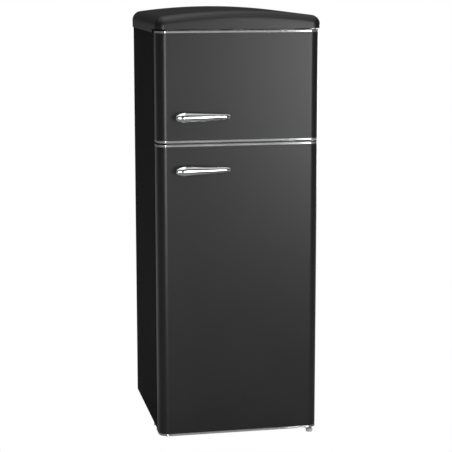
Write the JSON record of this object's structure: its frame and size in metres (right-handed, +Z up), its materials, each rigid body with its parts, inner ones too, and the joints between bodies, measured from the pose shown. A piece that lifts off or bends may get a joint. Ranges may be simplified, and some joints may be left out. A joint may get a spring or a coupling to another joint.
{
  "type": "top freezer refrigerator",
  "caption": "Free-standing retro refrigerator with a freezer above the fridge, crowned top, rounded black doors hinged on the right and chromed handles and edge strips.",
  "frame": {"origin": "on the floor, in the middle of the overall box", "axes": "+Z up, the doors face -Y, +X to the right of someone in front"},
  "size_m": [0.55, 0.615, 1.4399],
  "materials": {
    "black_paint": "satin",
    "black_cover": "satin",
    "chrome": "polished",
    "white_plastic": "satin",
    "clear_plastic": "gloss",
    "foam": "matte",
    "grey_gasket": "matte",
    "galvanised_steel": "satin",
    "back_paint": "satin",
    "grey_plastic": "satin",
    "black_enamel": "satin",
    "black_plastic": "matte",
    "black_rubber": "matte",
    "copper": "satin",
    "aluminium": "satin",
    "glass": "gloss",
    "frosted_plastic": "satin"
  },
  "bodies": {
    "cabinet": {"back_panel": "back_paint", "bottom_hinge_bracket": "galvanised_steel", "bottom_sheet": "galvanised_steel", "compressor": "black_enamel", "compressor_grommets": "black_rubber", "compressor_relay_box": "black_plastic", "compressor_tray": "galvanised_steel", "condenser_brackets": "black_plastic", "condenser_coil": "black_enamel", "condenser_wires": "black_enamel", "drain_tube": "black_plastic", "drip_tray": "black_plastic", "evaporator_plates": "aluminium", "filter_drier": "copper", "freezer_liner": "white_plastic", "freezer_shelf": "white_plastic", "fridge_liner": "white_plastic", "fridge_shelves": "glass", "front_base_rail": "galvanised_steel", "hinge_pins": "galvanised_steel", "hinge_screws": "galvanised_steel", "insulation_foam": "foam", "lamp_bulb": "glass", "lamp_cover": "frosted_plastic", "mains_inlet": "black_plastic", "middle_hinge_bracket": "galvanised_steel", "mullion_strip": "grey_plastic", "refrigerant_pipes": "copper", "roller_axles": "galvanised_steel", "shelf_edge_trims": "grey_plastic", "side_panel_left": "black_paint", "side_panel_right": "black_paint", "thermostat_housing": "white_plastic", "top_cover": "black_cover", "top_hinge_bracket": "galvanised_steel", "top_sheet": "galvanised_steel"},
    "freezer_door": {"freezer_door_bushes": "black_plastic", "freezer_door_foam": "foam", "freezer_door_gasket": "grey_gasket", "freezer_door_handle": "chrome", "freezer_door_liner": "white_plastic", "freezer_door_panel": "black_paint", "freezer_door_rack": "clear_plastic", "freezer_door_trims": "chrome"},
    "fridge_door": {"fridge_door_bushes": "black_plastic", "fridge_door_foam": "foam", "fridge_door_gasket": "grey_gasket", "fridge_door_handle": "chrome", "fridge_door_liner": "white_plastic", "fridge_door_panel": "black_paint", "fridge_door_racks": "clear_plastic", "fridge_door_trims": "chrome", "bottle_rack": "clear_plastic"},
    "crisper": {"crisper_drawer": "clear_plastic"},
    "thermostat_dial": {"thermostat_knob": "white_plastic"},
    "door_switch": {"light_switch_button": "white_plastic"},
    "left_foot": {"front_foot_left": "grey_plastic"},
    "right_foot": {"front_foot_right": "grey_plastic"},
    "left_roller": {"rear_roller_left": "black_plastic"},
    "right_roller": {"rear_roller_right": "black_plastic"}
  },
  "joints": [
    {"name": "freezer_door_hinge", "type": "hinge", "parent": "cabinet", "child": "freezer_door", "pos_m": [0.252, -0.24, 1.195], "axis": [0, 0, 1], "range_deg": [0, 130]},
    {"name": "fridge_door_hinge", "type": "hinge", "parent": "cabinet", "child": "fridge_door", "pos_m": [0.252, -0.24, 0.515], "axis": [0, 0, 1], "range_deg": [0, 130]},
    {"name": "crisper_slide", "type": "slide", "parent": "cabinet", "child": "crisper", "axis": [0, -1, 0], "range_m": [0, 0.175]},
    {"name": "switch_travel", "type": "slide", "parent": "cabinet", "child": "door_switch", "axis": [0, -1, 0], "range_m": [0, 0.005]},
    {"name": "thermostat_turn", "type": "hinge", "parent": "cabinet", "child": "thermostat_dial", "pos_m": [0.13, -0.105, 0.941], "axis": [-1, 0, 0], "range_deg": [0, 270]},
    {"name": "left_foot_turn", "type": "hinge", "parent": "cabinet", "child": "left_foot", "pos_m": [-0.235, -0.1495, 0.006], "axis": [0, 0, 1], "continuous": true},
    {"name": "right_foot_turn", "type": "hinge", "parent": "cabinet", "child": "right_foot", "pos_m": [0.252, -0.24, 0.006], "axis": [0, 0, 1], "continuous": true},
    {"name": "left_roller_spin", "type": "hinge", "parent": "cabinet", "child": "left_roller", "pos_m": [-0.249, 0.2455, 0.023], "axis": [1, 0, 0], "continuous": true},
    {"name": "right_roller_spin", "type": "hinge", "parent": "cabinet", "child": "right_roller", "pos_m": [0.249, 0.2455, 0.023], "axis": [1, 0, 0], "continuous": true}
  ],
  "couplings": [
    {"joint": "crisper_slide", "follows": "fridge_door_hinge", "m_per_rad": 0.0764},
    {"joint": "switch_travel", "follows": "fridge_door_hinge", "m_per_rad": 0.0022}
  ]
}
